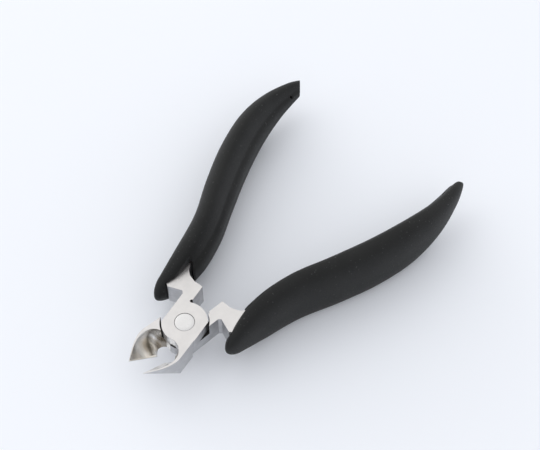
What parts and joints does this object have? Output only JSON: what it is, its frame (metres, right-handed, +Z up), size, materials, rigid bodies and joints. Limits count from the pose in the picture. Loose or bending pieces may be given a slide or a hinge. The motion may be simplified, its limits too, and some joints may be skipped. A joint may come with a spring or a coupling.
{
  "type": "cuticle nipper",
  "caption": "Hand nipper for cuticles: two crossed steel levers on a flush rivet, hollowed pointed jaws, sprung open, with tall curved soft grips.",
  "frame": {"origin": "middle of the open tool in plan, on the surface that the grips rest on", "axes": "+Y runs along the tool from the jaws to the handle ends, +Z is up and square to the joint faces, +X is to the right of somebody looking from the jaws along +Y"},
  "size_m": [0.0722, 0.1118, 0.0216],
  "materials": {
    "lever_steel": "satin, fine brushed",
    "rivet_steel": "ground flush, satin",
    "spring_steel": "drawn wire",
    "soft_grip": "matte soft-touch elastomer"
  },
  "bodies": {
    "lower_half": {"lower_lever": "lever_steel", "right_grip": "soft_grip", "pivot_rivet": "rivet_steel", "return_spring": "spring_steel"},
    "upper_half": {"upper_lever": "lever_steel", "left_grip": "soft_grip"}
  },
  "joints": [
    {"name": "jaw_pivot", "type": "hinge", "parent": "lower_half", "child": "upper_half", "pos_m": [0, -0.03639, 0.0104], "axis": [0, 0, -1], "range_deg": [0, 16], "stiffness_Nm_per_rad": 0.05, "springref_deg": -11.46, "deforming": ["return_spring"]}
  ]
}
